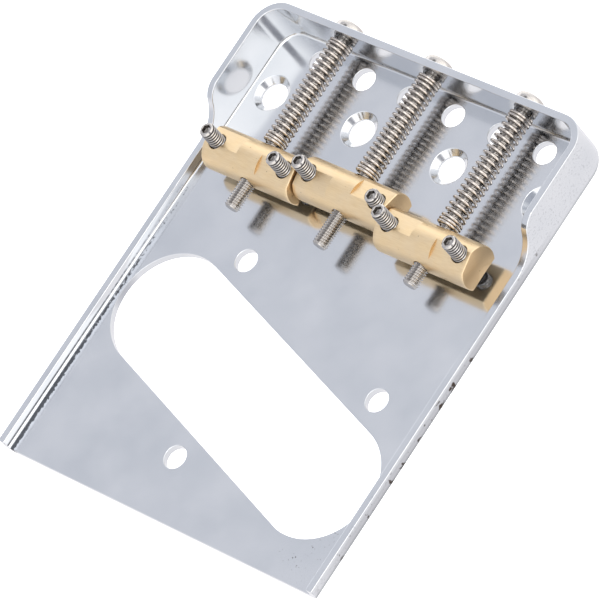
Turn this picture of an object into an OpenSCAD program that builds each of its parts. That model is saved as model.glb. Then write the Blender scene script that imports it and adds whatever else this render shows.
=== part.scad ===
/* [Plate] */
// Outer width of the plate across its side lips
plate_w = 77.2; // [72:0.1:90]
// Body screw row to the outer face of the rear wall
rear_reach = 13.8; // [13:0.1:20]
// Body screw row to the front edge
front_reach = 77.8; // [72:0.1:95]
// Thickness of the steel sheet
sheet_t = 1.4; // [1:0.1:1.9]
// Height of the rear wall over the underside
wall_h = 9.8; // [8.6:0.1:13]
// Height of the low side lips over the underside
lip_h = 3.4; // [2.8:0.1:6]
// Corner radius of the outside, seen from above
corner_r = 5.5; // [3.5:0.1:8]
// Inside radius of the bent edge
bend_in_r = 0.5; // [0.3:0.1:1]

/* [Fall of the side walls] */
// Body screw row to where the side walls start to fall
fall_start = 4; // [1:0.5:7]
// Radius of the rounded upper part of the fall
fall_top_r = 4; // [3.5:0.5:7]
// Radius of the hollow lower part of the fall
fall_foot_r = 7; // [4:0.5:12]

/* [Body screw holes] */
// Number of body screws
body_holes = 4; // [2:1:4]
// Distance from one body screw to the next
body_pitch = 21.6; // [19:0.1:22]
// Bore for a body screw
body_hole_d = 5; // [4:0.1:5.6]
// Rim of the countersink
sink_d = 7.2; // [6.2:0.1:8.4]
// Straight part of the bore under the countersink
bore_land = 0.3; // [0.2:0.1:0.6]

/* [String holes] */
// Distance from one string to the next
string_pitch = 10.8; // [10.7:0.1:11.2]
// Hole for a string
string_hole_d = 4.4; // [3:0.1:4.6]
// Body screw row back to the row of string holes
string_row = 8.7; // [7.4:0.1:9]

/* [Pickup opening] */
// Width of the opening
slot_w = 22.4; // [18:0.1:24]
// Length of the opening over its round ends
slot_l = 74.7; // [66:0.1:75]
// Slant of the opening, its bass end further forward
slot_turn = 17.4; // [10:0.1:19]
// Middle of the opening to the right of the centre line
slot_x = 0.45; // [-0.5:0.05:0.6]
// Middle of the opening in front of the body screw row
slot_reach = 51.4; // [49:0.1:54]
// Distance between the two rear pickup screws
pickup_pair = 43.7; // [40:0.1:46]
// Slot centre line to the pickup screws on each side of it
pickup_row = 15.85; // [15:0.05:17]
// Hole for a pickup screw
pickup_hole_d = 4.4; // [3:0.1:5]

/* [Saddles] */
// Diameter of a saddle barrel
saddle_d = 8; // [7:0.1:9]
// Length of a saddle barrel
saddle_l = 21.2; // [20.4:0.1:21.3]
// Height of the saddle axis over the underside of the plate
saddle_z = 5.5; // [5.2:0.1:6]
// Body screw row forward to the treble saddle axis
treble_reach = 14.25; // [12:0.05:17]
// Body screw row forward to the middle saddle axis
middle_reach = 13; // [12:0.05:17]
// Body screw row forward to the bass saddle axis
bass_reach = 15.8; // [12:0.05:17]
// Saddle axis down to the flat underneath
saddle_flat = 2.17; // [2:0.01:3.2]
// Depth of the string facets below the round of the barrel
facet_depth = 0.47; // [0.3:0.01:0.9]
// Lean of a string facet to the front or the rear
facet_tilt = 16.5; // [8:0.5:24]
// Length left round between the two facets
facet_gap = 5.3; // [4.4:0.1:8]
// Chamfer round each end of a barrel
saddle_chamfer = 0.25; // [0.1:0.05:0.5]
// Distance between the two height screws of a saddle
height_pitch = 16.4; // [14:0.1:17.4]

/* [Screws] */
// Thread diameter of every screw
screw_d = 3; // [2.5:0.1:3.2]
// Chamfer round the screw ends
screw_chamfer = 0.4; // [0.2:0.1:0.6]
// Length of an intonation screw under its head
intonation_l = 37.5; // [34:0.5:45]
// Head diameter of an intonation screw
head_d = 5.6; // [5:0.1:6.4]
// Head height of an intonation screw
head_h = 2; // [1.6:0.1:2.6]
// Rounding of the head
head_edge_r = 1; // [0.6:0.1:1.4]
// Length of each arm of the cross recess
cross_l = 1.6; // [1.2:0.1:1.9]
// Width of the arms of the cross recess
cross_w = 0.8; // [0.5:0.1:1]
// Depth of the cross recess
cross_depth = 1.1; // [0.8:0.1:1.5]
// Length of a height screw
height_l = 12; // [10:0.5:16]
// Length of the short height screw, on the bass side of the middle saddle
height_short_l = 10; // [8:0.5:16]
// Flat of the foot of a height screw
foot_d = 1.6; // [1:0.1:2.2]
// Hexagon socket across flats
socket_w = 1.5; // [1.2:0.1:1.6]
// Depth of the hexagon socket
socket_depth = 1.5; // [1:0.1:2.5]

/* [Springs] */
// Outer diameter of a spring
spring_d = 4.5; // [4.3:0.1:5.2]
// Diameter of the spring wire
wire_d = 0.5; // [0.3:0.05:0.55]
// Coils of a spring
coils = 18; // [10:1:18]

/* [Clearances] */
// Radial running clearance of a screw in a threaded bore
thread_gap = 0.04; // [0.02:0.01:0.1]
// Radial clearance of an intonation screw in the rear wall
wall_gap = 0.3; // [0.25:0.05:0.5]
// Head of an intonation screw off the rear wall
head_gap = 0.25; // [0.2:0.05:0.4]
// Foot of a height screw off the plate
foot_gap = 0.25; // [0.2:0.05:0.4]
// Spring end off the wall and off the saddle
spring_gap = 0.1; // [0.05:0.05:0.3]

/* [Hidden] */

$fn = 96;
past = 1;
chrome = "#c8cdd8";
brass = "#e0c48e";
steel = "#a9a6a2";

treble = -1;
middle = 0;
bass = 1;

half_w = plate_w / 2;
bend_out_r = bend_in_r + sheet_t;
side_l = front_reach + rear_reach - corner_r;
wall_in_y = rear_reach - sheet_t;

fall_r = fall_top_r + fall_foot_r;
fall_drop = wall_h - lip_h;
fall_run = sqrt(fall_r * fall_r - (fall_r - fall_drop) * (fall_r - fall_drop));
fall_foot_y = -fall_start - fall_run;
meet_y = -fall_start - fall_run * fall_top_r / fall_r;
meet_z = wall_h - fall_top_r + (fall_r - fall_drop) * fall_top_r / fall_r;

screw_r = screw_d / 2;
saddle_r = saddle_d / 2;
saddle_pitch = 2 * string_pitch;
thread_bore_r = screw_r + thread_gap;
wall_hole_r = screw_r + wall_gap;
head_seat_y = rear_reach + head_gap;
foot_z = sheet_t + foot_gap;

coil_r = (spring_d - wire_d) / 2;
coil_rings = 8;
wire_sides = 6;

// Where the axis of a saddle lies, from treble (-1) to bass (1)
function saddle_x(side) = side * saddle_pitch;
function saddle_y(side) =
    side == treble ? -treble_reach : side == bass ? -bass_reach : -middle_reach;

// Section across a bent edge, x running inward from the outer face
module edge_section() {
    translate([0, bend_out_r])
        square([sheet_t, wall_h - bend_out_r]);
    polygon([[bend_out_r, 0], [corner_r, 0], [corner_r, sheet_t], [bend_out_r, sheet_t]]);
    difference() {
        intersection() {
            translate([bend_out_r, bend_out_r])
                circle(bend_out_r);
            square(bend_out_r);
        }
        translate([bend_out_r, bend_out_r])
            circle(bend_in_r);
    }
}

// Flat floor with a full-height bent edge on three sides
module pressed_tray() {
    translate([-half_w + corner_r, -front_reach, 0])
        cube([plate_w - 2 * corner_r, side_l, sheet_t]);
    translate([-half_w + corner_r, rear_reach, 0])
        mirror([0, 1, 0])
            rotate([90, 0, 90])
                linear_extrude(plate_w - 2 * corner_r)
                    edge_section();
    for (flip = [0, 1])
        mirror([flip, 0, 0]) {
            translate([-half_w, rear_reach - corner_r, 0])
                rotate([90, 0, 0])
                    linear_extrude(side_l)
                        edge_section();
            translate([half_w - corner_r, rear_reach - corner_r, 0])
                rotate_extrude(angle = 90)
                    translate([corner_r, 0])
                        mirror([1, 0])
                            edge_section();
        }
}

// What is cut away over the side walls, seen from the side: over the low
// lips, and over two arcs that meet in one slope
module over_the_sides() {
    translate([-front_reach - past, lip_h])
        square([front_reach + past + fall_foot_y, fall_drop + past]);
    difference() {
        union() {
            polygon([[fall_foot_y, lip_h], [meet_y, meet_z], [-fall_start, wall_h],
                [-fall_start, wall_h + past], [fall_foot_y, wall_h + past]]);
            intersection() {
                translate([fall_foot_y, lip_h + fall_foot_r])
                    circle(fall_foot_r);
                translate([fall_foot_y, lip_h])
                    square([meet_y - fall_foot_y, meet_z - lip_h]);
            }
        }
        translate([-fall_start, wall_h - fall_top_r])
            circle(fall_top_r);
    }
}

// Bore with a countersink that leaves a straight land at the bottom
module body_bore() {
    translate([0, 0, -past])
        cylinder(h = sheet_t + 2 * past, d = body_hole_d);
    sink_slope = (sink_d - body_hole_d) / 2 / (sheet_t - bore_land);
    translate([0, 0, bore_land])
        cylinder(h = sheet_t - bore_land + past, r1 = body_hole_d / 2,
            r2 = sink_d / 2 + past * sink_slope);
}

module base_plate() {
    color(chrome)
        difference() {
            pressed_tray();
            translate([-half_w - past, 0, 0])
                rotate([90, 0, 90])
                    linear_extrude(plate_w + 2 * past)
                        over_the_sides();
            for (i = [0 : body_holes - 1])
                translate([(i - (body_holes - 1) / 2) * body_pitch, 0, 0])
                    body_bore();
            for (side = [treble, middle, bass])
                translate([saddle_x(side), 0, 0]) {
                    for (half = [-0.5, 0.5])
                        translate([half * string_pitch, string_row, -past])
                            cylinder(h = sheet_t + 2 * past, d = string_hole_d);
                    translate([0, rear_reach + past, saddle_z])
                        rotate([90, 0, 0])
                            cylinder(h = sheet_t + 2 * past, r = wall_hole_r);
                }
            translate([slot_x, -slot_reach, -past])
                rotate([0, 0, -slot_turn]) {
                    slot_half = (slot_l - slot_w) / 2;
                    translate([-slot_half, -slot_w / 2, 0])
                        cube([2 * slot_half, slot_w, sheet_t + 2 * past]);
                    for (end = [-1, 1])
                        translate([end * slot_half, 0, 0])
                            cylinder(h = sheet_t + 2 * past, d = slot_w);
                    for (p = [[-pickup_pair / 2, pickup_row], [pickup_pair / 2, pickup_row],
                        [0, -pickup_row]])
                        translate(p)
                            cylinder(h = sheet_t + 2 * past, d = pickup_hole_d);
                }
        }
}

// Barrel across the plate with a flat underneath, one string facet leaning
// back and one leaning forward, and three threaded bores
module saddle(side) {
    back_half = side == middle ? 1 : -1;
    color(brass)
        translate([saddle_x(side), saddle_y(side), saddle_z])
            difference() {
                rotate([0, 90, 0])
                    rotate_extrude()
                        polygon([[0, -saddle_l / 2],
                            [saddle_r - saddle_chamfer, -saddle_l / 2],
                            [saddle_r, -saddle_l / 2 + saddle_chamfer],
                            [saddle_r, saddle_l / 2 - saddle_chamfer],
                            [saddle_r - saddle_chamfer, saddle_l / 2],
                            [0, saddle_l / 2]]);
                translate([-saddle_l / 2 - past, -saddle_r - past, -saddle_r - past])
                    cube([saddle_l + 2 * past, saddle_d + 2 * past,
                        saddle_r + past - saddle_flat]);
                for (half = [-1, 1])
                    rotate([half == back_half ? -facet_tilt : facet_tilt, 0, 0])
                        translate([half * (facet_gap + saddle_l) / 2 - saddle_l / 2,
                            -saddle_r, saddle_r - facet_depth])
                            cube([saddle_l, saddle_d, facet_depth + past]);
                rotate([90, 0, 0])
                    translate([0, 0, -saddle_r - past])
                        cylinder(h = saddle_d + 2 * past, r = thread_bore_r);
                for (half = [-0.5, 0.5])
                    translate([half * height_pitch, 0, -saddle_r - past])
                        cylinder(h = saddle_d + 2 * past, r = thread_bore_r);
            }
}

// Pan-head screw through the rear wall, its thread running forward
module intonation_screw(side) {
    head_r = head_d / 2;
    color(steel)
        translate([saddle_x(side), head_seat_y, saddle_z])
            rotate([90, 0, 0])
                difference() {
                    rotate_extrude() {
                        polygon([[0, -head_h / 2], [screw_r, -head_h / 2],
                            [screw_r, intonation_l - screw_chamfer],
                            [screw_r - screw_chamfer, intonation_l], [0, intonation_l]]);
                        translate([0, -head_h])
                            square([head_r - head_edge_r, head_h]);
                        translate([0, head_edge_r - head_h])
                            square([head_r, head_h - head_edge_r]);
                        intersection() {
                            translate([head_r - head_edge_r, head_edge_r - head_h])
                                circle(head_edge_r);
                            translate([0, -head_h])
                                square([head_r, head_h]);
                        }
                    }
                    for (turn = [0, 90])
                        rotate([0, 0, turn])
                            translate([-cross_l, -cross_w / 2, -head_h - past])
                                cube([2 * cross_l, cross_w, cross_depth + past]);
                }
}

// Headless screw standing in the saddle, its foot over the plate
module height_screw(side, half, screw_l) {
    color(steel)
        translate([saddle_x(side) + half * height_pitch / 2, saddle_y(side), foot_z])
            difference() {
                rotate_extrude()
                    polygon([[0, 0], [foot_d / 2, 0],
                        [screw_r, screw_r - foot_d / 2],
                        [screw_r, screw_l - screw_chamfer],
                        [screw_r - screw_chamfer, screw_l], [0, screw_l]]);
                translate([0, 0, screw_l - socket_depth])
                    cylinder(h = socket_depth + past, r = socket_w / 2 / cos(30), $fn = 6);
            }
}

// One ring of points round the wire, with its mitre where the wire bends
function wire_ring(at, out, run_in, run_on) =
    let (lean = (run_in + run_on) / norm(run_in + run_on),
        side_v = cross(lean, out) / (lean * run_in))
    [for (k = [0 : wire_sides - 1])
        at + wire_d / 2 * (cos(360 * k / wire_sides) * out
            + sin(360 * k / wire_sides) * side_v)];

// Compression spring round the intonation screw: one wire from the rear
// wall to the saddle, which leaves the coil straight at both ends
module spring(side) {
    rear_y = wall_in_y - spring_gap;
    front_y = saddle_y(side) + saddle_r + spring_gap;
    steps = coils * coil_rings;
    fall = (rear_y - front_y - 2 * wire_d) / steps;
    forward = [0, -1, 0];
    rise_y = fall * coil_rings / 360 * 180 / PI;
    rings = [for (i = [-1 : steps + 1])
        let (j = min(max(i, 0), steps),
            a = -360 * j / coil_rings,
            out = [cos(a), 0, sin(a)],
            along = [sin(a) * coil_r, -rise_y, -cos(a) * coil_r],
            run = along / norm(along),
            at = coil_r * out + [0, rear_y - wire_d - j * fall, 0]
                + (i - j) * wire_d * forward,
            run_in = i <= 0 ? forward : i > steps ? forward : run,
            run_on = i < 0 ? forward : i >= steps ? forward : run)
        wire_ring(at, out, run_in, run_on)];
    count = len(rings);
    echo(str(side == treble ? "treble" : side == bass ? "bass" : "middle",
        " spring, least gap to itself in mm: ",
        min([for (i = [0 : count - 6], j = [i + 5 : min(i + 12, count - 1)],
            p = rings[i], q = rings[j]) norm(p - q)])));
    color(steel)
        translate([saddle_x(side), 0, saddle_z])
            polyhedron(points = [for (ring = rings, p = ring) p],
                faces = concat(
                    [for (k = [1 : wire_sides - 2]) [0, k, k + 1]],
                    [for (i = [0 : count - 2], k = [0 : wire_sides - 1], t = [0, 1])
                        let (a = i * wire_sides + k,
                            b = i * wire_sides + (k + 1) % wire_sides)
                        t == 0 ? [a, a + wire_sides, b + wire_sides]
                            : [a, b + wire_sides, b]],
                    [for (k = [1 : wire_sides - 2])
                        [0, k + 1, k] + (count - 1) * wire_sides * [1, 1, 1]]));
}

module treble_saddle() { saddle(treble); }
module middle_saddle() { saddle(middle); }
module bass_saddle() { saddle(bass); }
module treble_intonation_screw() { intonation_screw(treble); }
module middle_intonation_screw() { intonation_screw(middle); }
module bass_intonation_screw() { intonation_screw(bass); }
module treble_spring() { spring(treble); }
module middle_spring() { spring(middle); }
module bass_spring() { spring(bass); }
module treble_height_screw_left() { height_screw(treble, -1, height_l); }
module treble_height_screw_right() { height_screw(treble, 1, height_l); }
module middle_height_screw_left() { height_screw(middle, -1, height_l); }
module middle_height_screw_right() { height_screw(middle, 1, height_short_l); }
module bass_height_screw_left() { height_screw(bass, -1, height_l); }
module bass_height_screw_right() { height_screw(bass, 1, height_l); }

base_plate();
treble_saddle();
middle_saddle();
bass_saddle();
treble_intonation_screw();
middle_intonation_screw();
bass_intonation_screw();
treble_spring();
middle_spring();
bass_spring();
treble_height_screw_left();
treble_height_screw_right();
middle_height_screw_left();
middle_height_screw_right();
bass_height_screw_left();
bass_height_screw_right();
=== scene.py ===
# %% [markdown]
# # A chromed guitar bridge with three brass saddles
# The bridge is a tray pressed from one steel sheet. Three brass barrels stand
# in it on small grub screws, each held by a long screw and a spring from the
# rear wall. The measured model is loaded first. It fixes every place and size,
# and each piece made below takes the place of one of its parts.

# %% Load the measured model
import bpy
import numpy as np
from mathutils import Matrix, Vector
from mathutils.geometry import delaunay_2d_cdt


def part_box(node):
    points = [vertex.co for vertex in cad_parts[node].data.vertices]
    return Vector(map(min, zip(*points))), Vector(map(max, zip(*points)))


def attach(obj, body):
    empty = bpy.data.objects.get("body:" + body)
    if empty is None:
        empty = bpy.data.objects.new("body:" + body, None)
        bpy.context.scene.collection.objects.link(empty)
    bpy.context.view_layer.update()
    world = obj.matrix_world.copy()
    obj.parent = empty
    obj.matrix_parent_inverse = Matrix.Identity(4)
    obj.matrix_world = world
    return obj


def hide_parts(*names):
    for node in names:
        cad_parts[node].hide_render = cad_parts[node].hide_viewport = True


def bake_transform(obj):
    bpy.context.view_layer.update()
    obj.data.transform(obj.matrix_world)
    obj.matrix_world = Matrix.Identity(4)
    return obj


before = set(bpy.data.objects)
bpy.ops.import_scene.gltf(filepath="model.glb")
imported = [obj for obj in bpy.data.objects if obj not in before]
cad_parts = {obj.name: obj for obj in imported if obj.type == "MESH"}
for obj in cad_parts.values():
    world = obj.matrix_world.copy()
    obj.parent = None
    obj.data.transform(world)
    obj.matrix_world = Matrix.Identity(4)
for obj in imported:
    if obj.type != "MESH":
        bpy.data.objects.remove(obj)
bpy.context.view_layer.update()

# %% [markdown]
# ## Surfaces from numbers
# Every piece is a surface: a grid of points, whose neighbours are joined by
# faces. All points of a grid are worked out at once with numpy, in
# millimetres. Grids that meet share their edge points, so one step afterwards
# welds equal points and leaves a closed skin. That is quicker than joining
# pieces by hand, and the printed volume shows at once if a skin is inside out.

# %% Grids, lids and strips
MM = 0.001                      # a millimetre in Blender's metres


def quads(rows, cols):
    """Faces of a grid stored row by row: each joins a point, its right
    neighbour, the one above that and the one above the first."""
    i, j = np.meshgrid(np.arange(rows - 1), np.arange(cols - 1), indexing="ij")
    a = (i * cols + j).ravel()
    q = np.stack([a, a + 1, a + cols + 1, a + cols], 1)
    return np.concatenate([q[:, [0, 1, 2]], q[:, [0, 2, 3]]])


def facing(p, f, n):
    """(points, faces) of a patch, the faces turned to the side of normals n."""
    a, b, c = p[f[:, 0]], p[f[:, 1]], p[f[:, 2]]
    agrees = np.einsum("ij,ij->", np.cross(b - a, c - a), n[f].sum(1))
    return p, f if agrees > 0 else f[:, ::-1]


def lid(ring, centre, n):
    """A lid facing n: a ring of points, each side joined to the centre."""
    k = np.arange(len(ring))
    f = np.stack([k, (k + 1) % len(ring), np.full(len(ring), len(ring))], 1)
    p = np.vstack([ring, [centre]])
    return facing(p, f, np.broadcast_to(n, p.shape))


def strip(loops, n):
    """A patch through closed loops of equal count, each without its first
    point repeated. n is a normal for the whole, or one for each point."""
    p = np.stack([np.vstack([r, r[:1]]) for r in loops])
    n = np.broadcast_to(n, (len(loops), len(loops[0]), 3))
    n = np.concatenate([n, n[:, :1]], axis=1)
    return facing(p.reshape(-1, 3), quads(*p.shape[:2]), n.reshape(-1, 3))


# %% Welding and finished objects
GRAIN = 0.001                   # points in one cell of this width, in mm, become one
SHIFT = 0.327                   # keeps round numbers off the borders of the cells


def weld(parts):
    """Joins parts into one skin: points in the same cell become one, and
    faces that have shrunk to a line are dropped. Returns points, triangles
    and the number of the first part point behind each point."""
    start = np.cumsum([0] + [len(p) for p, f in parts])
    p = np.vstack([p for p, f in parts])
    f = np.vstack([f + s for (q, f), s in zip(parts, start)])
    cell = np.floor(p / GRAIN + SHIFT).astype(np.int64)
    key, first, back = np.unique(cell, axis=0, return_index=True, return_inverse=True)
    f = back.ravel()[f]
    good = (f[:, 0] != f[:, 1]) & (f[:, 1] != f[:, 2]) & (f[:, 2] != f[:, 0])
    return p[first], f[good], first


def piece(name, parts, body, node, material, sharp=30.0, normals=None, groove=None):
    """A finished object from welded parts, in place of a measured node. body
    is the body that it rides on; anything else, such as the two bodies that
    a blend would need, leaves the object where it is made. Edges that turn
    by more than sharp degrees stay crisp, unless normals gives each part
    point its own. The last argument gives each point a darkness from 0,
    where it is worn bright, to 1: partly grime and partly painted shade in
    threads, sockets, recesses and under feet."""
    p, f, first = weld(parts)
    mesh = bpy.data.meshes.new(name)
    mesh.from_pydata((p * MM).tolist(), [], f.tolist())
    mesh.validate()
    mesh.shade_smooth()
    if normals is None:
        mesh.set_sharp_from_angle(angle=np.radians(sharp))
    else:
        mesh.normals_split_custom_set_from_vertices(normals[first].tolist())
    # Darkness per point, partly grime and partly painted shade.
    if groove is not None:
        depth = mesh.attributes.new("groove", "FLOAT", "POINT")
        depth.data.foreach_set("value", groove(p).astype(np.float32))
    obj = bpy.data.objects.new(name, mesh)
    bpy.context.scene.collection.objects.link(obj)
    obj.data.materials.append(material)
    if isinstance(body, str):
        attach(obj, body)
    else:
        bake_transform(obj)
    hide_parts(node)
    a, b, c = p[f[:, 0]], p[f[:, 1]], p[f[:, 2]]
    volume = np.einsum("ij,ij->i", a, np.cross(b, c)).sum() / 6
    edges = np.concatenate([f[:, [0, 1]], f[:, [1, 2]], f[:, [2, 0]]])
    twice = (np.unique(edges, axis=0, return_counts=True)[1] != 1).sum()
    loose = (np.unique(np.sort(edges, axis=1), axis=0, return_counts=True)[1] != 2).sum()
    print(f"{name}: {len(f)} triangles, {volume:.1f} mm3, {loose} open and {twice} turned edges")
    return obj


# %% [markdown]
# ## Finishes
# The tray is pressed steel, polished and chrome plated, so it mirrors the
# bright tent round it. What shows of the plating itself is a faint haze and
# a little rust, with painted shade along one bend. The barrels are brass rod
# with milled flats.
# Screws and springs are steel with a thin plating, warmer and duller than
# chrome. Each pattern follows a point's place on the object and has the real
# mark's size in millimetres.

# %% Colours and shader nodes
def linear(code):
    """A hex sRGB colour as the linear values that shaders work with: a share
    of 255 plus 0.055, over 1.055, to the power 2.4, or if dark over 12.92."""
    c = np.array([int(code[i:i + 2], 16) for i in (1, 3, 5)]) / 255
    c = np.where(c <= 0.04045, c / 12.92, ((c + 0.055) / 1.055) ** 2.4)
    return (*c.tolist(), 1.0)


def add(tree, kind, sockets=(), **settings):
    """One node of the type ShaderNode and kind, with its settings. sockets
    holds its inputs in order, or in a dict by name or number. Each is a
    value, an output to link, or a node whose first output is linked."""
    node = tree.nodes.new("ShaderNode" + kind)
    for key, value in settings.items():
        setattr(node, key, value)
    for key, value in sockets.items() if isinstance(sockets, dict) else enumerate(sockets):
        if isinstance(value, bpy.types.Node):
            value = value.outputs[0]
        if isinstance(value, bpy.types.NodeSocket):
            tree.links.new(value, node.inputs[key])
        else:
            node.inputs[key].default_value = value
    return node


# %% Masks, noise and layers of colour
def overlap(tree, *masks):
    """The mask where all of some masks lie: their product."""
    whole = masks[0]
    for mask in masks[1:]:
        whole = add(tree, "Math", [whole, mask], operation="MULTIPLY")
    return whole


def band(tree, value, low, high, soft):
    """1 where value lies from low to high, with edges that fade over soft."""
    return overlap(tree, add(tree, "MapRange", [value, low - soft, low + soft]),
                   add(tree, "MapRange", [value, high + soft, high - soft]))


def cloudy(tree, place, size, detail=2.0, stretch=1.0):
    """Noise whose features are size mm wide, and stretch times longer in X."""
    scale = [1 / (size * MM * k) for k in (stretch, 1.0, 1.0)]
    spot = add(tree, "Mapping", {"Vector": place, "Scale": scale})
    return add(tree, "TexNoise", {"Vector": spot, "Scale": 1.0, "Detail": detail})


MIX = {"RGBA": (6, 7, 2), "VECTOR": (4, 5, 1)}      # numbers of both inputs and the output


def layered(tree, tone, layers, kind="RGBA"):
    """A tone with layers over it in turn, each a share, 0 to 1, and the tone
    that it brings. A tone is a hex code, a set of values or an output."""
    a, b, out = MIX[kind]
    for share, over in layers:
        tone, over = (linear(c) if isinstance(c, str) else c for c in (tone, over))
        tone = add(tree, "Mix", {0: share, a: tone, b: over}, data_type=kind).outputs[out]
    return tone


def facing_x(tree):
    """How far a surface faces along X: its normal's X."""
    normal = add(tree, "TexCoord").outputs["Normal"]
    return add(tree, "SeparateXYZ", [normal]).outputs["X"]


# %% The start and the end of a metal
def metal(name):
    """A new material, its empty tree, and the place on the object, as a
    vector in metres and as X, Y and Z in mm."""
    material = bpy.data.materials.new(name)
    material.use_nodes = True
    tree = material.node_tree
    tree.nodes.clear()
    place = add(tree, "TexCoord").outputs["Object"]
    in_mm = add(tree, "VectorMath", {0: place, "Scale": 1 / MM}, operation="SCALE")
    return material, tree, place, add(tree, "SeparateXYZ", [in_mm]).outputs


def surface(tree, tone, roughness, normal):
    """The main node of a metal, with all that it is given, and the output."""
    main = add(tree, "BsdfPrincipled", {"Metallic": 1.0, "Base Color": tone,
                                        "Roughness": roughness, "Normal": normal})
    add(tree, "OutputMaterial", {"Surface": main})


# %% [markdown]
# Chromium reflects a little less red than blue, so chrome looks cool. The
# plating is smooth, but handling leaves a haze over about a centimetre that
# softens what it mirrors. The bass side is faintly dusty outside. Rust has
# pitted its low lip, where a hand rests, and small dots cover the lip and the
# front corner. Along the bend of the low treble side a grey band and dark
# specks about 0.2 mm wide, thickest in front, are painted shade, the dark
# reflection that the bend shows. The wall above it leans out a little. That
# shows only in what it mirrors, so a bump turns its normals.

# %% Marks on the chrome, placed in mm
BASS_SIDE = (38.0, 38.4)        # X from none to all
BASS_LIP = (38.2, 39.0, 0.1), (-72.0, -8.0, 6.0)        # X and Y: from, to, softness
BELOW_RIM = (3.1, 2.6)          # Z from none to all
FRONT_CORNER = (26.0, 36.0, 2.0), (-76.0, -64.0, 2.0)   # X and Y: from, to, softness
# Painted shade along the treble bend:
TREBLE_BEND_SHADE = (-36.9, -35.4, 0.3)       # X: from, to, softness
LOW_PART = (-14.0, -22.0)       # Y from none to all


def bass_marks(tree, place, at, speck_noise):
    """Layers for the bass side: dust, the lip's dull tone, dots and pits.
    Each lies where its zone does and its noise is high."""
    dust = overlap(tree, add(tree, "MapRange", [at["X"], *BASS_SIDE]),
                   add(tree, "MapRange", [cloudy(tree, place, 0.45, 3.0), 0.55, 0.7, 0.0, 0.25]))
    lip, corner = (overlap(tree, band(tree, at["X"], *x), band(tree, at["Y"], *y))
                   for x, y in (BASS_LIP, FRONT_CORNER))
    lip = overlap(tree, lip, add(tree, "MapRange", [at["Z"], *BELOW_RIM]))
    worn = add(tree, "Math", [lip, corner], operation="MAXIMUM")
    dots = overlap(tree, worn, add(tree, "MapRange", [speck_noise, 0.68, 0.71, 0.0, 0.8]))
    pits = overlap(tree, lip, add(tree, "MapRange", [cloudy(tree, place, 1.8, 5.0), 0.59, 0.63]))
    return [(dust, "#8E9198"), (lip, "#BDBFC3"), (dots, "#6A625C"), (pits, "#4A4039")]


def treble_bend_shade(tree, at, speck_noise):
    """Layers of painted shade for the bend of the treble side: a grey band,
    and dark specks where noise plus nearness to the bend, which grows
    towards the front, is enough."""
    low_part = add(tree, "MapRange", [at["Y"], *LOW_PART])
    painted_bend_shade = overlap(tree, band(tree, at["X"], *TREBLE_BEND_SHADE), low_part)
    crease = overlap(tree, add(tree, "MapRange", [at["X"], -36.95, -36.7]),
                     add(tree, "MapRange", [at["X"], -36.3, -35.1, 1.0, 0.0]), low_part,
                     add(tree, "MapRange", [at["Y"], 0.0, -66.0, 0.45, 1.15]))
    crease_and_noise = add(tree, "Math", [crease, speck_noise], operation="ADD")
    painted_bend_specks = add(tree, "MapRange", [crease_and_noise, 1.28, 1.42, 0.0, 0.9])
    # Painted shade: the bend's dark reflection as a grey band and near-black specks.
    return [(painted_bend_shade, "#B4B7BD"), (painted_bend_specks, "#2A2D32")]


def leaning(tree, at):
    """Normals of the low treble wall's inner face, turned as if it leaned:
    a bump that falls by 2.1 mm over 10 mm of height."""
    inward = add(tree, "MapRange", [facing_x(tree), 0.4, 0.6])
    wall = overlap(tree, inward, add(tree, "MapRange", [at["Y"], -22.0, -34.0]),
                   add(tree, "MapRange", [at["X"], 0.0, -1.0]))
    fall = overlap(tree, wall, add(tree, "MapRange", [at["Z"], 2.1, 12.1, 0.0, -1.0]))
    return add(tree, "Bump", {"Height": fall, "Strength": 1.0, "Distance": 2.1 * MM})


# %% Chrome on pressed steel
def chrome():
    """Chrome whose tone and roughness follow a haze 9 mm wide, with the bass
    side's marks and the treble bend's painted shade laid over it."""
    material, tree, place, at = metal("chrome_plated_pressed_steel")
    haze = cloudy(tree, place, 9.0, 4.0)
    speck_noise = cloudy(tree, place, 0.42, 3.0)
    tone = layered(tree, "#D2D5D9", [(add(tree, "MapRange", [haze, 0.3, 0.7]), "#DCDEE1"),
                                     *bass_marks(tree, place, at, speck_noise),
                                     *treble_bend_shade(tree, at, speck_noise)])
    rough = add(tree, "MapRange", [haze, 0.3, 0.7, 0.13, 0.2])
    surface(tree, tone, rough, leaning(tree, at))
    return material


# %% [markdown]
# Brass is copper with about a third of zinc. The rod is drawn and its flats
# are milled, which leaves a satin surface with fine lines along the barrel,
# here noise stretched nine times along X. Handling leaves patches some 3 mm
# wide and a few brown stains under a millimetre. The ends and the steps
# beside the flats are cut straight across, and painted shade makes them a
# little darker.

# %% Milled brass
def brass():
    """Brass whose tone and roughness follow lines 0.2 mm wide, with patches,
    painted shade on the faces across the rod, and stains laid over them."""
    material, tree, place, at = metal("milled_brass")
    lines = cloudy(tree, place, 0.2, 3.0, 9.0)
    across = add(tree, "Math", [facing_x(tree)], operation="ABSOLUTE")
    # Painted shade on the faces that look along the rod: the ends and the steps.
    end_shade = add(tree, "MapRange", [across, 0.8, 0.95])
    patches = add(tree, "MapRange", [cloudy(tree, place, 3.0), 0.35, 0.75, 0.0, 0.5])
    stains = add(tree, "MapRange", [cloudy(tree, place, 0.6), 0.72, 0.8, 0.0, 0.7])
    tone = layered(tree, "#E7CCA0", [(add(tree, "MapRange", [lines, 0.3, 0.7]), "#F0D8B0"),
                                     (patches, "#E6D3B6"), (end_shade, "#C9AE88"), (stains, "#7A6038")])
    bump = add(tree, "Bump", {"Height": lines, "Strength": 0.04, "Distance": 0.04 * MM})
    surface(tree, tone, add(tree, "MapRange", [lines, 0.0, 1.0, 0.32, 0.5]), bump)
    return material
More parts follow.
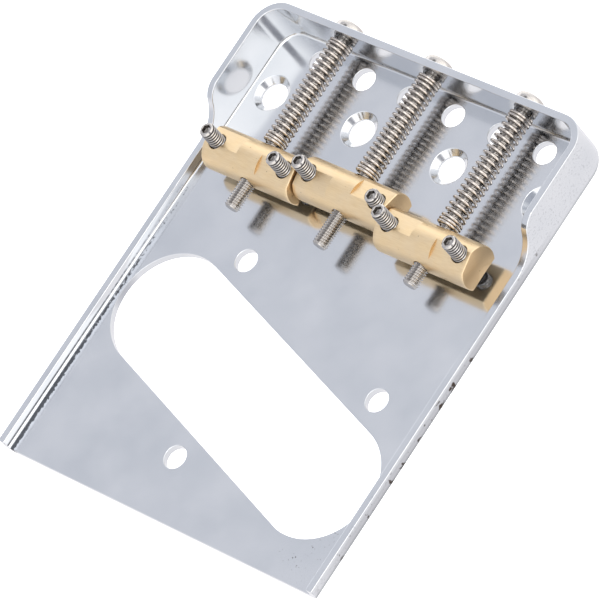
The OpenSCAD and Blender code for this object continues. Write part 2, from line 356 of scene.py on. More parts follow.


# %% [markdown]
# Nickel-plated screws and drawn spring wire are a neutral grey. What is
# touched stays bright. Oil and dust together with painted shade darken the
# bottom of the thread, and painted shade darkens the sockets, the recesses
# and the feet, where the mesh carries a value that says how dark.
# Fine marks 0.12 mm wide break up the highlights.

# %% Plated steel for screws and springs
def steel(name, dark, light, roughness):
    """Steel from dark to light by noise 0.12 mm wide, and nearly black as
    far as the mesh's value of grime and painted shade says."""
    material, tree, place, at = metal(name)
    marks = cloudy(tree, place, 0.12)
    # The mesh's value of grime and painted shade, laid over as near-black.
    depth = add(tree, "Attribute", attribute_name="groove").outputs["Fac"]
    tone = layered(tree, dark, [(add(tree, "MapRange", [marks, 0.3, 0.7]), light),
                                (depth, "#211C19")])
    bump = add(tree, "Bump", {"Height": marks, "Strength": 0.05, "Distance": 0.02 * MM})
    surface(tree, tone, roughness, bump)
    return material


CHROME = chrome()
BRASS = brass()
SCREW = steel("nickel_plated_screw_steel", "#BBB7B3", "#D0CCC8", 0.18)
WIRE = steel("drawn_spring_wire", "#B2AAA3", "#D6CFC8", 0.2)
print("finishes:", [m.name for m in (CHROME, BRASS, SCREW, WIRE)])

# %% [markdown]
# ## The tray
# The real tray is one sheet, 1.4 mm thick, so it is built as two skins, one
# on top and one below, that follow each other everywhere at that distance.
# A floor with holes is cut by a Delaunay triangulation between its outlines,
# the bent edge is a profile carried round three sides, and a rolled strip
# joins both skins along every free edge. Each skin's true normals are known
# from its formula, so a mirror finish stays smooth across all of it.

# %% Sizes of the tray, in mm
SHEET = 1.4
BEND_IN = 0.5                   # inner radius of the bend
BEND = SHEET + BEND_IN
CORNER = 5.5                    # outer radius of the rear corners
LIP = 3.4                       # height of the side walls in front
FALL = (-4.0, 4.0, 7.0)         # where the fall to it starts, and its two radii
AXLE, AXLE_HOLE = 5.5, 1.8      # height and radius of the holes in the rear wall
PITCH = 21.6                    # saddle to saddle, and body screw to body screw
SLOT = (0.45, -51.4, 22.4, 74.7, 17.4)      # pickup opening: x, y, width, length, turn
ROUND = 0.16                    # rolled edge of the holes
EDGE_ROUND = 0.16               # rolled edge of the sheet's outline
SLOT_ROUND = 0.08               # rolled edge of the pickup opening
BEND_ROWS = 7                   # rows of the grid in the bend, below the wall's
WINDOW = 3                      # half the square left open round a hole in the wall
low, high = (np.array(v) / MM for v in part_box("base_plate"))
HALF_W, REAR, FRONT, WALL = high[0], high[1], low[1], high[2]
print("half width, rear, front and wall, mm:", np.round([HALF_W, REAR, FRONT, WALL], 2))


def wall_height(y):
    """Height of the side wall at y: full at the back, low in front, and
    between them a rounded and a hollow arc that meet in one slope."""
    start, ra, rb = FALL
    total, drop = ra + rb, WALL - LIP
    run = np.sqrt(total ** 2 - (total - drop) ** 2)
    t = np.clip(start - y, 0, run)
    top = WALL - ra + np.sqrt(np.maximum(ra ** 2 - t ** 2, 0))
    foot = LIP + rb - np.sqrt(np.maximum(rb ** 2 - (run - t) ** 2, 0))
    return np.where(t < run * ra / total, top, foot)


# %% The path of the bent edge
def edge_path():
    """Points of the line where the floor starts to bend, from the front of
    the treble side round the back to the front of the bass side, and the
    direction that points out of the tray at each. The points lie closer
    along the fall and a millimetre apart beside the holes of the rear wall."""
    r = CORNER - BEND
    cx, cy = HALF_W - CORNER, REAR - CORNER
    fall = np.linspace(FALL[0] - 10.1, FALL[0], 40)
    side = np.concatenate([np.linspace(FRONT + EDGE_ROUND, fall[0] - 1.5, 24), fall,
                           np.linspace(FALL[0] + 1.2, cy, 8)])
    steps = np.arange(-WINDOW, WINDOW + 1.0)
    half = np.concatenate([np.linspace(-cx, -PITCH - WINDOW, 8)[:-1], -PITCH + steps,
                           np.linspace(-PITCH + WINDOW, -WINDOW, 11)[1:-1]])
    back = np.concatenate([half, steps, -half[::-1]])
    turn = np.radians(np.linspace(180, 90, 17))[1:-1]
    p = [np.stack([np.full(len(side), -cx - r), side], 1),
         np.stack([-cx + r * np.cos(turn), cy + r * np.sin(turn)], 1),
         np.stack([back, np.full(len(back), cy + r)], 1)]
    o = [np.tile([-1.0, 0.0], (len(side), 1)),
         np.stack([np.cos(turn), np.sin(turn)], 1),
         np.tile([0.0, 1.0], (len(back), 1))]
    flip = np.array([-1.0, 1.0])
    p += [p[1][::-1] * flip, p[0][::-1] * flip]
    o += [o[1][::-1] * flip, o[0][::-1] * flip]
    return np.concatenate(p), np.concatenate(o)


PATH, OUT = edge_path()
UP = np.array([0.0, 0.0, 1.0])
OUT3 = np.hstack([OUT, np.zeros((len(OUT), 1))])
print("bent edge:", len(PATH), "stations")


def bent_edge(outer):
    """The bent sheet as a grid: a quarter circle up from the floor, then
    straight to just under the rim. outer picks the skin outside."""
    r = BEND if outer else BEND_IN
    phi = np.radians(np.linspace(0, 90, BEND_ROWS))
    h = np.where(np.abs(OUT[:, 1]) > 0.01, WALL, wall_height(PATH[:, 1])) - EDGE_ROUND
    levels = np.append(AXLE + np.arange(-WINDOW, WINDOW + 1), WALL - EDGE_ROUND)
    share = (levels - BEND) / (WALL - EDGE_ROUND - BEND)
    z = BEND + np.outer(share, h - BEND)
    base = np.hstack([PATH, np.zeros((len(PATH), 1))])
    curve = (base[None] + r * np.sin(phi)[:, None, None] * OUT3[None]
             + (BEND - r * np.cos(phi))[:, None, None] * UP)
    wall = (base + r * OUT3)[None] + z[:, :, None] * UP
    n_curve = (np.cos(phi)[:, None, None] * UP
               - np.sin(phi)[:, None, None] * OUT3[None])
    n_wall = np.broadcast_to(-OUT3[None], wall.shape)
    return np.concatenate([curve, wall]), np.concatenate([n_curve, n_wall])


# %% [markdown]
# Each hole's rim is a loop of points. The floor stops at the loop, and a
# strip rolls over the edge, down through the sheet and out to the skin below.
# A countersunk hole has its own strip: over the rim, down a 90 degree cone,
# then a short straight bore.

# %% Loops of the holes and the opening
def circle(x, y, r, n=64):
    """n points round (x, y) at radius r."""
    a = np.arange(n) / n * 2 * np.pi
    return np.stack([x + r * np.cos(a), y + r * np.sin(a)], 1)


def from_slot(u, v):
    """Points u along and v across the slanted opening's own axes."""
    x, y, w, length, turn = SLOT
    t = np.radians(-turn)
    return x + u * np.cos(t) - v * np.sin(t), y + u * np.sin(t) + v * np.cos(t)


def slot_loop(grow, n=48):
    """The pickup opening's outline, grown by grow: two half circles."""
    w, length = SLOT[2:4]
    a = np.radians(np.linspace(-90, 90, n))
    arc = np.stack([np.cos(a), np.sin(a)], 1) * (w / 2 + grow)
    far = np.array([(length - w) / 2, 0])
    return np.stack(from_slot(*np.concatenate([arc + far, -arc - far]).T), 1)


STRING_Y, HOLE = 8.7, 2.2       # the string holes' row, and the radius of plain holes
PICKUP = ((-21.85, 15.85), (21.85, 15.85), (0, -15.85))     # its screws, from its middle
PLAIN = [(x, STRING_Y) for x in (np.arange(6) - 2.5) * PITCH / 2]
PLAIN += [from_slot(u, v) for u, v in PICKUP]
SUNK = [(x, 0.0) for x in (np.arange(4) - 1.5) * PITCH]
print("holes:", len(PLAIN), "plain and", len(SUNK), "countersunk")

# %% Rolled strips along free edges
ROLL = np.radians([0, 30, 60, 90])


def rolled(top, below, away, normal, r=ROUND):
    """A strip round a free edge: a quarter circle from the upper skin, flat
    down the sheet's edge, and a quarter circle into the skin below."""
    s, c = np.sin(ROLL)[:, None, None], np.cos(ROLL)[:, None, None]
    up = top + r * (s * away - (1 - c) * normal)
    down = below + r * (s * away + (1 - c) * normal)
    return (np.concatenate([up, down[::-1]]),
            np.concatenate([c * normal + s * away, -c[::-1] * normal + s[::-1] * away]))


# Radius, height and lean of the normal in degrees, down a countersunk hole.
SINK = np.array([(3.75, 1.4, 0), (3.64, 1.375, 22), (3.52, 1.31, 45), (2.64, 0.43, 45),
                 (2.53, 0.32, 68), (2.5, 0.22, 90), (2.5, 0.12, 90), (2.53, 0.04, 135),
                 (2.62, 0.0, 180)])


def countersunk(x, y, n=64):
    """The strip of a countersunk hole: each ring's radius, height and the
    lean of its normal come from SINK."""
    a = np.arange(n + 1) / n * 2 * np.pi
    ray = np.stack([np.cos(a), np.sin(a), np.zeros(n + 1)], 1)
    r, z, lean = SINK.T
    lean = np.radians(lean)[:, None, None]
    p = r[:, None, None] * ray + z[:, None, None] * UP + [x, y, 0]
    return p, np.cos(lean) * UP - np.sin(lean) * ray


# %% Triangles between outlines
def triangles(outline, loops, loose=(), lines=()):
    """Delaunay triangles between an outline and the loops inside it, through
    loose points too, with the given lines as edges. Triangles whose middle
    lies inside a loop are left out. Returns points and faces."""
    points = np.concatenate([outline] + loops + [p for p in (loose,) if len(p)])
    edges, start = [], 0
    for loop in [outline] + loops:
        k = np.arange(len(loop))
        edges.append(np.stack([start + k, start + (k + 1) % len(loop)], 1))
        start += len(loop)
    if len(lines):
        ends = np.array(lines).reshape(-1, 1, 2)
        gap = np.linalg.norm(ends - points[None], axis=2)
        edges.append(gap.argmin(1).reshape(-1, 2))
    kept_inside, nearness = 1, 1e-6     # no triangles outside the outline
    out = delaunay_2d_cdt([Vector(p) for p in points], np.concatenate(edges).tolist(), [],
                          kept_inside, nearness)
    assert len(out[0]) == len(points), "an outline crosses another"
    f = np.array(out[2])
    middle = points[f].mean(1)
    keep = inside(middle, outline)
    for loop in loops:
        keep &= ~inside(middle, loop)
    f = f[keep]
    a, b, c = points[f[:, 0]], points[f[:, 1]], points[f[:, 2]]
    turn = (b - a)[:, 0] * (c - a)[:, 1] - (b - a)[:, 1] * (c - a)[:, 0]
    f[turn < 0] = f[turn < 0][:, ::-1]
    return points, f


def inside(points, loop):
    """Which points lie in a loop: a ray from them crosses it an odd number
    of times."""
    a, b = loop[None], np.roll(loop, -1, 0)[None]
    x, y = points[:, None, 0], points[:, None, 1]
    spans = (a[..., 1] > y) != (b[..., 1] > y)
    rise = np.where(spans, b[..., 1] - a[..., 1], 1.0)
    reach = a[..., 0] + (y - a[..., 1]) * (b[..., 0] - a[..., 0]) / rise
    return (spans & (x < reach)).sum(1) % 2 == 1


# %% Floor and walls
def patch(points, normals, faces=None):
    """(points, faces, normals) of a grid, or of points with their faces, the
    faces turned to the side of the normals."""
    f = quads(*points.shape[:2]) if faces is None else faces
    n = np.broadcast_to(normals, points.shape).reshape(-1, 3)
    return *facing(points.reshape(-1, 3), f, n), n


def floors(front):
    """Both skins of the floor. They share their triangles, but the lower
    one's countersunk loops are drawn in to the width of their bores."""
    loops = [slot_loop(SLOT_ROUND)] + [circle(x, y, HOLE + ROUND) for x, y in PLAIN]
    loops += [circle(x, y, SINK[0, 0]) for x, y in SUNK]
    spot, f = triangles(np.concatenate([PATH, front])[::-1], loops)
    under = spot.copy()
    for x, y in SUNK:
        ray = under - [x, y]
        near = np.hypot(*ray.T) < SINK[0, 0] + 0.01
        under[near] = [x, y] + ray[near] * SINK[-1, 0] / SINK[0, 0]
    level = np.zeros((len(spot), 1))
    return [patch(np.hstack([spot, level + SHEET]), UP, f),
            patch(np.hstack([under, level]), -UP, f)]


def walls(inner, outer, n):
    """Both skins of the bent edge, with a square left open round each hole
    of the rear wall, filled by flat rings and a strip through the hole."""
    rows, cols = inner.shape[:2]
    middles = (-PITCH, 0, PITCH)
    stations = [int(np.argmin(np.hypot(PATH[:, 0] - x, PATH[:, 1] - PATH[:, 1].max())))
                for x in middles]
    w, first, last = WINDOW, BEND_ROWS, BEND_ROWS + 2 * WINDOW
    closed = np.ones((rows - 1, cols - 1), bool)
    for k in stations:
        closed[first:last, k - w:k + w] = False
    f = quads(rows, cols)[np.concatenate([closed.ravel()] * 2)]
    patches = [patch(inner, n, f), patch(outer, -n, f)]
    i, j = np.array([(first, j) for j in range(-w, w)] + [(i, w) for i in range(first, last)]
                    + [(last, j) for j in range(w, -w, -1)]
                    + [(i, -w) for i in range(last, first - 1, -1)]).T
    back = np.array([0.0, 1.0, 0.0])
    for k, x in zip(stations, middles):
        edge = inner[i, k + j] - [x, 0, AXLE]
        ray = edge * [1, 0, 1] / np.hypot(edge[:, 0], edge[:, 2])[:, None]
        ring_in = ray * (AXLE_HOLE + ROUND) + [x, REAR - SHEET, AXLE]
        ring_out = ring_in + [0, SHEET, 0]
        patches += [patch(np.stack([inner[i, k + j], ring_in]), -back),
                    patch(np.stack([outer[i, k + j], ring_out]), back),
                    patch(*rolled(ring_in, ring_out, -ray, -back))]
    return patches


# %% Strips through the floor and along its free edge
def rim(loop, ray, r):
    """A rolled strip of radius r down through the floor along a loop, with
    rays that point away from the hole's middle."""
    ring, ray = (np.hstack([g, np.zeros((len(g), 1))])[np.r_[:len(g), 0]] for g in (loop, ray))
    return patch(*rolled(ring + SHEET * UP, ring, -ray, np.tile(UP, (len(ring), 1)), r))


def floor_rims():
    """The strips of the plain holes, the opening and the countersunk holes."""
    rings = [(np.array([x, y]), circle(x, y, HOLE + ROUND)) for x, y in PLAIN]
    patches = [rim(ring, (ring - middle) / (HOLE + ROUND), ROUND) for middle, ring in rings]
    slot = slot_loop(SLOT_ROUND)
    patches.append(rim(slot, slot - slot_loop(SLOT_ROUND - 1), SLOT_ROUND))
    return patches + [patch(*countersunk(x, y)) for x, y in SUNK]


def free_edge(inner, outer, n, front):
    """The rolled strip along the walls' rim, down their front ends and along
    the floor's front. At the rim's two ends its normals turn from up to
    ahead in steps at one place."""
    corner_steps = np.radians([22.5, 45, 67.5])[:, None]
    three = np.ones((len(corner_steps), 1))
    ahead = np.tile([0.0, -1.0, 0.0], (len(inner), 1))

    def round_trip(skin, floor):
        """A skin's values along the edge, closed at the end."""
        return np.concatenate([skin[-1], three * skin[-1, -1], skin[::-1, -1], floor,
                               skin[:, 0], three * skin[-1, 0], skin[-1, :1]])

    lean = np.cross(np.gradient(inner[-1], axis=0), OUT3)
    lean *= np.sign(lean[:, 2:]) / np.linalg.norm(lean, axis=1, keepdims=True)
    corner = np.cos(corner_steps) * UP - np.sin(corner_steps) * [0, 1, 0]
    away = np.concatenate([lean, corner, ahead, np.tile(ahead[:1], (len(front), 1)),
                           ahead, corner[::-1], lean[:1]])
    base = np.hstack([front, np.zeros((len(front), 1))])
    normal = round_trip(n, np.tile(UP, (len(front), 1)))
    return patch(*rolled(round_trip(inner, base + SHEET * UP), round_trip(outer, base),
                         away, normal, EDGE_ROUND))


# %% Put the tray together
def tray():
    """Parts of the whole tray, and a normal for each of their points."""
    inner, n = bent_edge(False)
    outer = bent_edge(True)[0]
    front = np.linspace(PATH[-1], PATH[0], 30)[1:-1]
    patches = (floors(front) + walls(inner, outer, n) + floor_rims()
               + [free_edge(inner, outer, n, front)])
    return [(p, f) for p, f, _ in patches], np.concatenate([m for _, _, m in patches])


parts, normals = tray()
piece("pressed_tray", parts, "plate", "base_plate", CHROME, normals=normals)

# %% [markdown]
# ## The barrels
# A real saddle is 8 mm brass rod with a flat milled underneath, so that it
# clears the plate, and two shallow flats on top, leaning opposite ways, one
# for each string. Its skin is worked out unrolled, along the rod and round
# it, cut by triangulation between the rims of its bores and along the edges
# of the flats, and then rolled up. So every milled edge stays a true line.

# %% Shape of a barrel, in mm and degrees
ROD, HALF_L = 4.0, 10.6
UNDER = 2.17                    # from the axis down to the flat underneath
FLAT, TILT, GAP = 3.53, 16.5, 2.65      # string flats: from the axis, lean, from the middle
BORE, RIM, END = 1.54, 0.14, 0.25       # radius of the bores, bevel of bores and of ends
POST = 8.2                      # from the middle to the height screws
EDGE = np.degrees(np.arccos(FLAT / ROD))        # half the angle that a string flat spans
FOOT = np.degrees(np.arcsin(UNDER / ROD))       # from level down to the flat underneath


def radius(angle, lean):
    """Distance of the skin from the rod's axis at an angle in degrees from
    the rear: the rod's radius, or where a flat cuts in, the flat's distance
    over the cosine of the angle from its middle. lean is the string flat's
    middle angle, or None without one."""
    a = np.radians(angle)
    r = np.where(np.sin(a) < -UNDER / ROD, UNDER / np.maximum(-np.sin(a), 0.3), ROD)
    if lean is not None:
        off = np.radians((np.asarray(angle) - lean + 180) % 360 - 180)
        r = np.where(np.abs(off) < np.radians(EDGE), FLAT / np.cos(off), r)
    return r


def skin(x, angle, lean):
    """Points on the rod's skin at x along it and at angles round it."""
    r, a = radius(angle, lean), np.radians(angle)
    return np.stack([x + 0 * r, r * np.cos(a), r * np.sin(a)], -1)


def around(start):
    """The angles of the skin's grid from start: every milled edge, and every
    6 degrees where no edge is near."""
    edges = np.array([-FOOT, 180 + FOOT] + [90 + s * TILT + e * EDGE
                                            for s in (1, -1) for e in (1, -1)])
    plain = np.arange(0, 360, 6.0)
    near = np.abs((plain[:, None] - edges + 180) % 360 - 180).min(1)
    a = np.concatenate([plain[near > 1.5], edges])
    return np.append(np.sort((a - start) % 360), 360) + start


def rims(rays, side, x, lean):
    """The rim of a bore where it leaves the skin, as x and angle, and as
    points: side 90 is up, 270 down, 0 rear and 180 front."""
    p = rays * (BORE + RIM)
    centre = np.array([x, 0, 0])
    if side in (90, 270):
        y = p[:, 1]
        z = np.sqrt(ROD ** 2 - y ** 2)
        if lean is not None:
            t = np.radians(lean)
            z = np.minimum(z, (FLAT - y * np.cos(t)) / np.sin(t))
        z = z if side == 90 else np.full(len(y), -UNDER)
        p = np.stack([x + p[:, 0], y, z], 1)
        inward = np.array([0, 0, -1.0 if side == 90 else 1.0])
    else:
        y = np.sqrt(ROD ** 2 - p[:, 1] ** 2) * (1 if side == 0 else -1)
        p = np.stack([x + p[:, 0], y, p[:, 1]], 1)
        inward = np.array([0, -1.0 if side == 0 else 1.0, 0])
    flat = np.stack([p[:, 0], np.degrees(np.arctan2(p[:, 2], p[:, 1]))], 1)
    across = (p - centre) * (1 - np.abs(inward))
    inner = centre + across * BORE / (BORE + RIM) + p * np.abs(inward) + RIM * inward
    return flat, p, inner, -across / (BORE + RIM)


# %% Where the bores meet the skin
def bore_rays(creases):
    """Directions round a bore every 7.5 degrees, and exactly where the edges
    of a flat, at the angles in creases, cross its rim."""
    a = np.arange(0, 360, 7.5)
    for c in creases:
        y = ROD * np.cos(np.radians(c)) / (BORE + RIM)
        if abs(y) < 1:
            at = np.degrees([np.arcsin(y), np.pi - np.arcsin(y)]) % 360
            apart = np.abs((a[:, None] - at + 180) % 360 - 180).min(1)
            a = np.append(a[apart > 3], at)
    a = np.radians(np.sort(a))
    return np.stack([np.cos(a), np.sin(a)], 1)


# %% The skin of a barrel
def saddle_skin(x0, x1, lean, bores):
    """One length of the rod's skin, with its bores' rims left open. It is
    triangulated unrolled: x along it, and the arc's length round it. Returns
    its patches and the inner ring of each bore mouth."""
    start = 0.0 if bores[0][1] in (90, 270) else -90.0
    angles = around(start)
    step, clear = 0.75, 1.09        # of the grid along the rod, and round a bore
    xs = np.linspace(x0, x1, int(np.ceil((x1 - x0) / step)) + 1)
    size = np.radians(1) * ROD
    creases = [] if lean is None else [lean - EDGE, lean + EDGE]
    loops, taken, ends = [], [], []
    for x, side in bores:
        rays = bore_rays(creases if side in (90, 270) else [])
        flat, rim, inner, ray = rims(rays, side, x, lean)
        flat[:, 1] = (flat[:, 1] - start) % 360 + start
        loops.append(flat * [1, size])
        ends.append((inner, ray))
        taken.append(strip([rim, inner], ray + (rim - inner) / RIM))
    grid = np.stack(np.meshgrid(xs, angles * size, indexing="ij"), -1)
    loose = grid[1:-1, 1:-1].reshape(-1, 2)
    for loop in loops:
        middle = loop.mean(0)
        loose = loose[~inside(loose, middle + (loop - middle) * clear)]
    outline = np.concatenate([grid[:-1, 0], grid[-1, :-1], grid[:0:-1, -1], grid[0, :0:-1]])
    every = np.concatenate([outline, loose] + loops)
    lines = []
    for c in creases + [-FOOT, 180 + FOOT]:
        level = ((c - start) % 360 + start) * size
        on = np.sort(every[np.abs(every[:, 1] - level) < 1e-6, 0])
        a, b = on[:-1], on[1:]
        mid = np.stack([(a + b) / 2, np.full(len(a), level)], 1)
        free = ~np.any([inside(mid, loop) for loop in loops], axis=0)
        lines += [((p, level), (q, level)) for p, q in zip(a[free], b[free])]
    flat, f = triangles(outline, loops, loose, lines)
    angle = flat[:, 1] / size
    p = skin(flat[:, 0], angle, lean)
    n = np.stack([0 * angle, np.cos(np.radians(angle)), np.sin(np.radians(angle))], 1)
    return [facing(p, f, n)] + taken, ends


def saddle(name, left_lean, right_lean):
    """A whole barrel: three lengths of skin, steps beside the string flats,
    bevelled ends and bore walls, moved to its place."""
    low, high = (np.array(c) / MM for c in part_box(name))
    place = np.append((low + high)[:2] / 2, AXLE)
    left, a = saddle_skin(-HALF_L + END, -GAP, left_lean, [(-POST, 90), (-POST, 270)])
    middle, b = saddle_skin(-GAP, GAP, None, [(0, 0), (0, 180)])
    right, c = saddle_skin(GAP, HALF_L - END, right_lean, [(POST, 90), (POST, 270)])
    parts = left + middle + right
    for ends in (a, b, c):
        (top, ray), (below, _) = ends
        share = np.linspace(0, 1, 4)[:, None, None]
        parts.append(strip(list(top + share * (below - top)), ray))
    for x, lean, n in ((-GAP, left_lean, -1), (GAP, right_lean, 1)):
        angle = around(0.0)
        angle = angle[(angle > lean - EDGE - 0.01) & (angle < lean + EDGE + 0.01)]
        step = np.stack([skin(x, angle, lean), skin(x, angle, None)])
        parts.append(facing(step.reshape(-1, 3), quads(2, len(angle)),
                            np.tile([float(n), 0, 0], (2 * len(angle), 1))))
    for x, lean in ((-HALF_L, left_lean), (HALF_L, right_lean)):
        out = np.sign(x) * np.array([1.0, 0, 0])
        ring = skin(x - END * out[0], around(0.0)[:-1], lean)
        ray = ring * [0, 1, 1] / np.linalg.norm(ring[:, 1:], axis=1, keepdims=True)
        bend = np.radians(np.linspace(0, 90, 4))[:, None, None]
        curve = ring + END * (np.sin(bend) * out - (1 - np.cos(bend)) * ray)
        parts += [strip(list(curve), out + ray), lid(curve[-1], [x, 0, 0], out)]
    return [(p + place, f) for p, f in parts]


WHERE = {"treble": (90 - TILT, 90 + TILT), "middle": (90 + TILT, 90 - TILT),
         "bass": (90 - TILT, 90 + TILT)}
for key, leans in WHERE.items():
    piece(f"{key}_barrel_saddle", saddle(f"{key}_saddle", *leans), f"{key}_barrel",
          f"{key}_saddle", BRASS, sharp=20)

# %% [markdown]
# ## The screws
# All nine screws are M3. A real thread is rolled, with flanks at 60 degrees,
# a flat crest and a flat root. One grid makes it: its rows climb the helix,
# so each row keeps one height on the thread's own profile, and the bevelled
# ends cut the thread off cleanly. The long screws have the usual half
# millimetre from crest to crest. The height screws look slimmer and coarser
# in the picture, so their crests are drawn 0.6 mm apart.

# %% Threads
M3 = 1.5                        # nominal radius, in mm
CREST, LEAD = 1.48, 0.5         # radius at the crests, and crest to crest
DEPTH = 0.52                    # depth of the thread, as a share of the lead
PROFILE = np.array([1, 1, 0.6, 0.2, 0, 0, 0.2, 0.6])    # heights along one lead


def thread(length, stations, radii, crest=CREST, lead=LEAD, sides=48):
    """Grid of an upright thread from z = 0 to length. A point's height is
    the lead times its turns, its distance from the axis the profile's at
    that row, and nowhere more than the bevels' given by stations and radii."""
    a = np.arange(sides + 1) / sides * 2 * np.pi
    rows = len(PROFILE)
    k = np.arange(-rows, int(np.ceil(length / lead * rows)) + 1)
    z = np.clip(lead * (k[:, None] / rows + a / (2 * np.pi)), 0, length)
    r = (crest + DEPTH * lead * (PROFILE[k % rows] - 1))[:, None]
    r = np.minimum(r, np.interp(z, stations, radii))
    p = np.stack([r * np.cos(a), r * np.sin(a), z], -1)
    n = np.stack([np.cos(a), np.sin(a), 0 * a], -1)
    n = np.broadcast_to(n, p.shape).reshape(-1, 3)
    return facing(p.reshape(-1, 3), quads(*z.shape), n)


def deep(r, crest, lead):
    """How deep in the thread a point at distance r from the axis lies, from
    0 at its crest to 1 from half way down."""
    return np.clip((crest - r) / (DEPTH * lead) * 2, 0, 1)


def hoop(shape, z, sides=48):
    """A ring of points at height z. shape is a radius, or a function that
    gives the radius at each angle."""
    a = np.arange(sides) / sides * 2 * np.pi
    r = shape(a) if callable(shape) else np.full(sides, float(shape))
    return np.stack([r * np.cos(a), r * np.sin(a), np.full(sides, z)], 1)


def hexagon(half):
    """The radius at any angle of a hexagon, half across its flats: half over
    the cosine of the angle from the middle of the nearest flat."""
    return lambda a: half / np.cos((a + np.pi / 6) % (np.pi / 3) - np.pi / 6)


# %% [markdown]
# A height screw has no head: a hexagon socket is sunk in its bevelled top,
# and its foot is turned down to a small flat that stands on the plate. The
# picture shows five of the six tops 0.35 mm lower than measured at first.

# %% Height screws
GRUB, GRUB_LEAD = 1.42, 0.6     # radius at the crests, and crest to crest
FOOT_R, FOOT_H = 0.8, 0.7       # radius of the flat foot, and height of its bevel
TOP_R, TOP_H = 1.1, 0.4         # the same at the top
SOCKET, SOCKET_R = 0.8, 0.75    # depth of the hexagon, and half across its flats
LOWER = 0.35                    # how much lower a top stands
UNMOVED = "bass_height_screw_left"      # the one that stands as measured


def height_screw(node):
    """Patches of one height screw in its place, a bevelled thread with a
    foot and a socket, and the function of its darkness: grime and painted
    shade."""
    low, high = (np.array(c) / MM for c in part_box(node))
    length = high[2] - low[2] - (0.0 if node == UNMOVED else LOWER)
    body = thread(length, [0, FOOT_H, length - TOP_H, length], [FOOT_R, M3, M3, TOP_R],
                  GRUB, GRUB_LEAD)
    bottom = length - SOCKET
    mouth = [hoop(TOP_R, length), hoop(hexagon(SOCKET_R + 0.08), length)]
    wall = [hoop(hexagon(SOCKET_R), length - 0.1), hoop(hexagon(SOCKET_R), bottom)]
    floor = hoop(hexagon(0.62), bottom - 0.03)
    out = hoop(1, 0)
    parts = [body, lid(hoop(FOOT_R, 0), [0, 0, 0], -UP), strip(mouth, UP),
             strip([mouth[1], wall[0]], UP - out), strip(wall, -out),
             strip([wall[1], floor], UP), lid(floor, [0, 0, bottom - 0.2], UP)]
    place = np.append((low + high)[:2] / 2, low[2])

    def groove(p):
        """Grime and painted shade in the thread, painted shade in the socket
        and on the foot, none on the top.
        """
        x, y, z = (p - place).T
        r = np.hypot(x, y)
        in_socket = (r > 0.74) & (r < 0.9) & (z > 1) & (z < length - 0.05)
        # Painted shade in the socket and on the foot, which stands in the shadow under the barrel.
        socket_and_foot_shade = np.where(in_socket | (z < FOOT_H), 0.85, 0.0)
        return np.where((z < length - 0.35) & (r > 1), deep(r, GRUB, GRUB_LEAD), socket_and_foot_shade)

    return [(p + place, f) for p, f in parts], groove


for key in WHERE:
    for half in ("left", "right"):
        parts, groove = height_screw(f"{key}_height_screw_{half}")
        piece(f"{key}_{half}_height_screw", parts, f"{key}_{half}_post",
              f"{key}_height_screw_{half}", SCREW, groove=groove)

# %% [markdown]
# An intonation screw passes through the rear wall, its spring and its saddle.
# Its pan head is domed and has a crossed recess, cut by triangles between its
# twelve corners and the head's edge. It tapers as a driver's tip does.

# %% Intonation screws
SEAT = 2.0                      # from the measured head's far face to its seat
HEAD_R, HEAD_H, DOME = 2.8, 1.75, 1.2       # radius, height, radius of its round edge
CROSS_L, CROSS_W = 1.3, 0.36    # half the length and half the width of the cross
TIP_R, NECK_R = 1.1, 1.15       # where the thread's bevels end, at the tip and the head


def cross(scale):
    """The twelve corners of the crossed recess: one arm's three, turned by
    a quarter three times."""
    l, w = CROSS_L * scale, CROSS_W * scale
    loop = [np.array([(l, -w), (l, w), (w, w)])]
    for quarter in range(3):
        loop.append(loop[-1] @ np.array([[0, 1], [-1, 0]]))
    return np.concatenate(loop)


def intonation_screw(node):
    """Patches of one intonation screw, made upright with its tip at z = 0,
    then laid along Y with the head behind the wall, and the function of its
    darkness: grime and painted shade."""
    low, high = (np.array(c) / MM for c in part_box(node))
    shank = high[1] - low[1] - SEAT
    top = shank + HEAD_H
    parts = [thread(shank, [0, 0.4, shank - 0.2, shank], [TIP_R, M3, M3, NECK_R]),
             lid(hoop(TIP_R, 0), [0, 0, 0], -UP)]
    bend = np.radians(np.linspace(0, 90, 7))
    side = [hoop(HEAD_R - 0.12, shank), hoop(HEAD_R, shank + 0.12)]
    side += [hoop(HEAD_R - DOME + DOME * np.cos(t), top - DOME + DOME * np.sin(t))
             for t in bend]
    lean = np.concatenate([[0.0, 0.0], bend])[:, None, None]
    out = np.cos(lean) * hoop(1, 0)[None] + np.sin(lean) * UP
    parts += [strip([hoop(NECK_R, shank), side[0]], -UP), strip(side, out)]
    mouth = cross(1.0)
    flat, f = triangles(side[-1][:, :2], [mouth])
    parts.append((np.hstack([flat, np.full((len(flat), 1), top)]), f))
    upper = np.hstack([mouth, np.full((12, 1), top)])
    lower = np.hstack([cross(0.7), np.full((12, 1), top - 1.1)])
    parts += [strip([upper, lower], -upper * [1, 1, 0]), lid(lower, [0, 0, top - 1.35], UP)]
    spot = np.array([(low[0] + high[0]) / 2, low[1], AXLE])

    def groove(p):
        """A little darker in the thread by grime and painted shade, painted
        shade in the recess, none on the head."""
        x, y, z = (p - spot).T
        r = np.hypot(x, z)
        recess = (r < 1.4) & (y > shank) & (y < top - 0.05)
        in_thread = y < shank - 0.15
        # Painted shade in the recess; grime and painted shade in the thread.
        return np.where(in_thread, 0.2 * deep(r, CREST, LEAD), np.where(recess, 0.75, 0.0))

    laid = np.array([[1, 0, 0], [0, 0, -1], [0, 1, 0]])
    return [(p @ laid + spot, f) for p, f in parts], groove


for key in WHERE:
    parts, groove = intonation_screw(f"{key}_intonation_screw")
    piece(f"{key}_intonation_screw_threaded", parts, f"{key}_screw",
          f"{key}_intonation_screw", SCREW, groove=groove)

